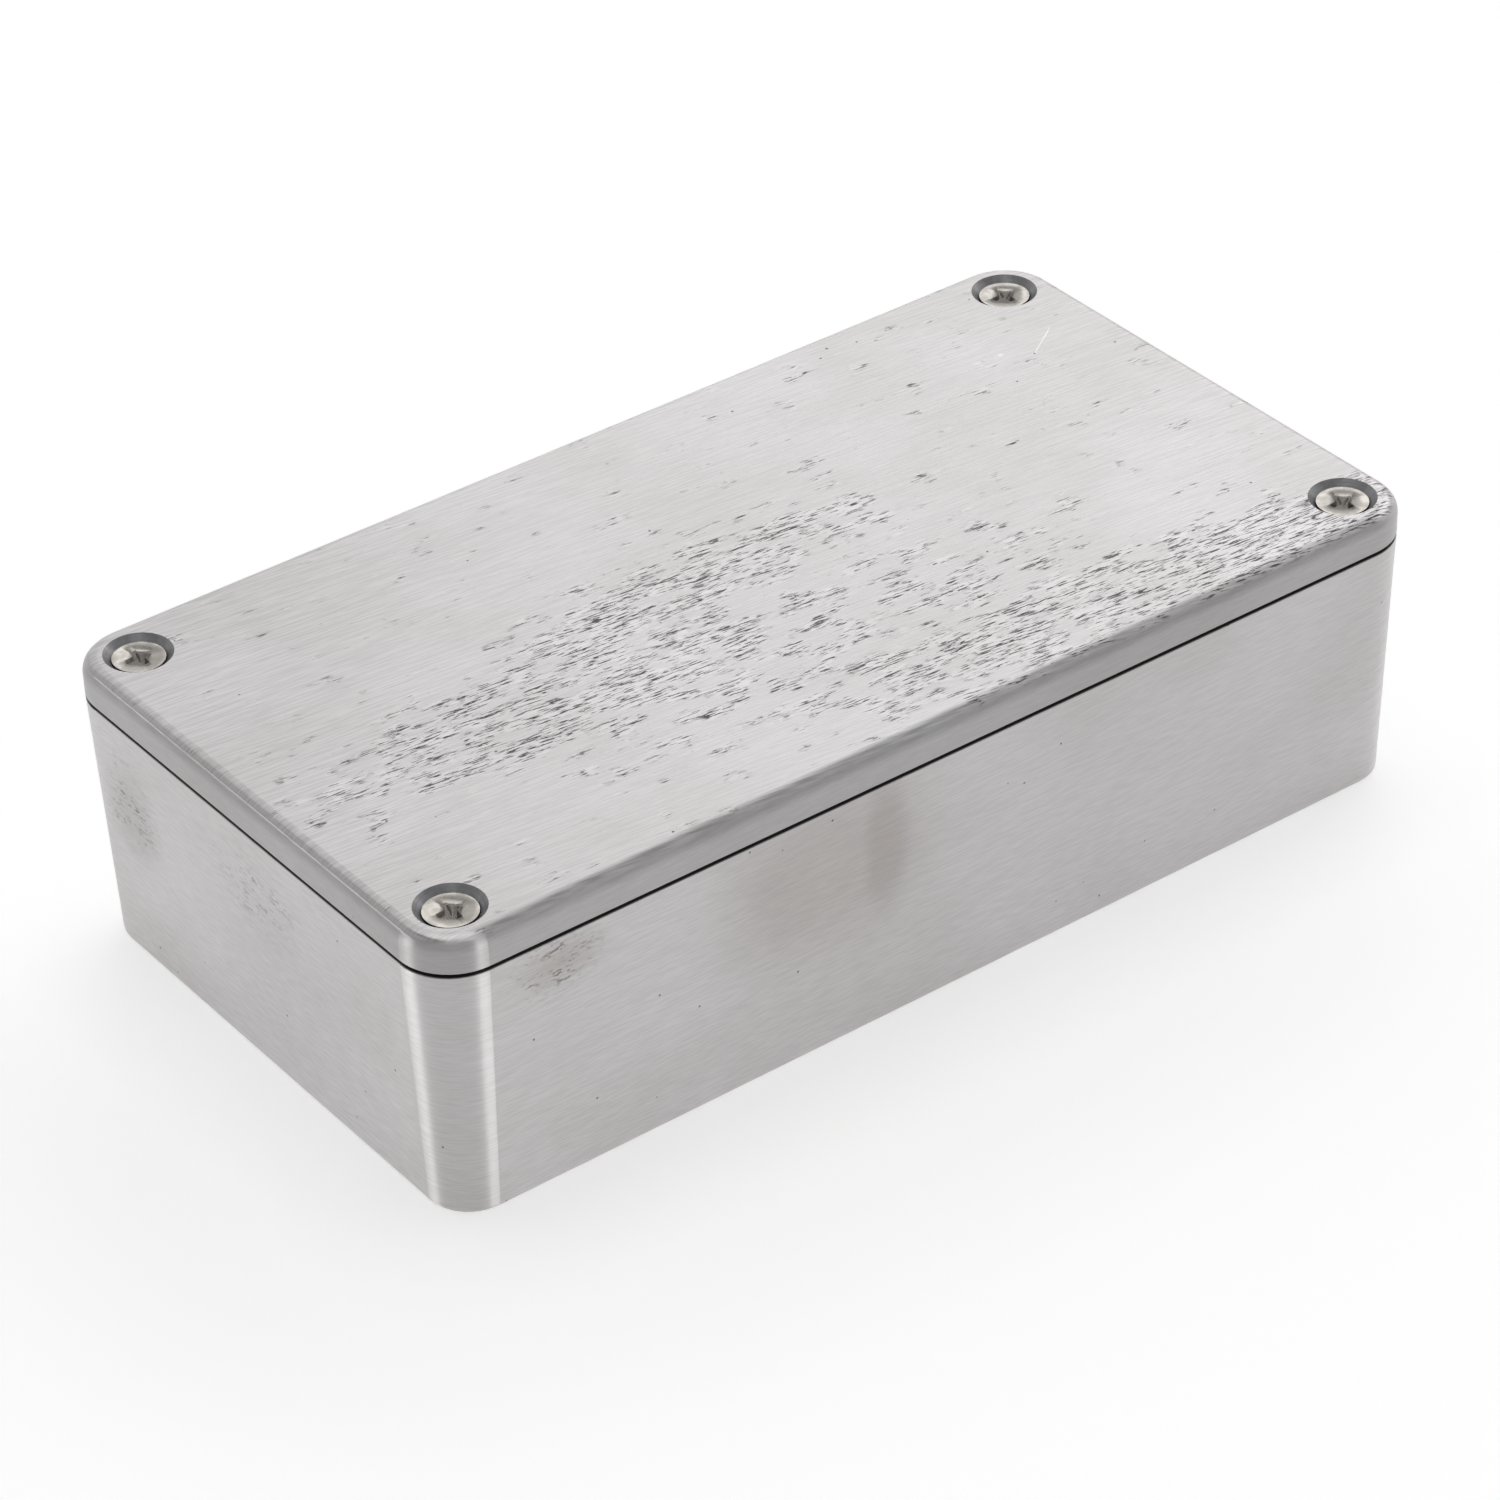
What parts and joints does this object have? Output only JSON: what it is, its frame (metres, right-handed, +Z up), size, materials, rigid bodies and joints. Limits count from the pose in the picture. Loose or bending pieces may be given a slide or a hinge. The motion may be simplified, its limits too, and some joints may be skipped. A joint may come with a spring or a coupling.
{
  "type": "aluminium project box",
  "caption": "Small die-cast aluminium enclosure with drafted sides and rounded corners. Its lid plugs into the base and is held by countersunk screws.",
  "frame": {"origin": "middle of the underside, on the surface that the box stands on", "axes": "+X along the length, +Y across the width, away from the long side that the picture shows, +Z up through the lid"},
  "size_m": [0.112, 0.0604, 0.0305],
  "materials": {
    "base_casting": "brushed bare die-cast aluminium",
    "lid_casting": "brushed bare die-cast aluminium",
    "screw_plating": "bright nickel-plated steel"
  },
  "bodies": {
    "base": {"base": "base_casting"},
    "lid": {"lid": "lid_casting"},
    "screw_front_left": {"screw_front_left": "screw_plating"},
    "screw_front_right": {"screw_front_right": "screw_plating"},
    "screw_back_left": {"screw_back_left": "screw_plating"},
    "screw_back_right": {"screw_back_right": "screw_plating"}
  },
  "joints": [
    {"name": "lid_lift", "type": "slide", "parent": "base", "child": "lid", "axis": [0, 0, 1], "range_m": [0, 0.045]},
    {"name": "front_left_screw_out", "type": "slide", "parent": "lid", "child": "screw_front_left", "axis": [0, 0, 1], "range_m": [0, 0.014]},
    {"name": "front_right_screw_out", "type": "slide", "parent": "lid", "child": "screw_front_right", "axis": [0, 0, 1], "range_m": [0, 0.014]},
    {"name": "back_left_screw_out", "type": "slide", "parent": "lid", "child": "screw_back_left", "axis": [0, 0, 1], "range_m": [0, 0.014]},
    {"name": "back_right_screw_out", "type": "slide", "parent": "lid", "child": "screw_back_right", "axis": [0, 0, 1], "range_m": [0, 0.014]}
  ]
}
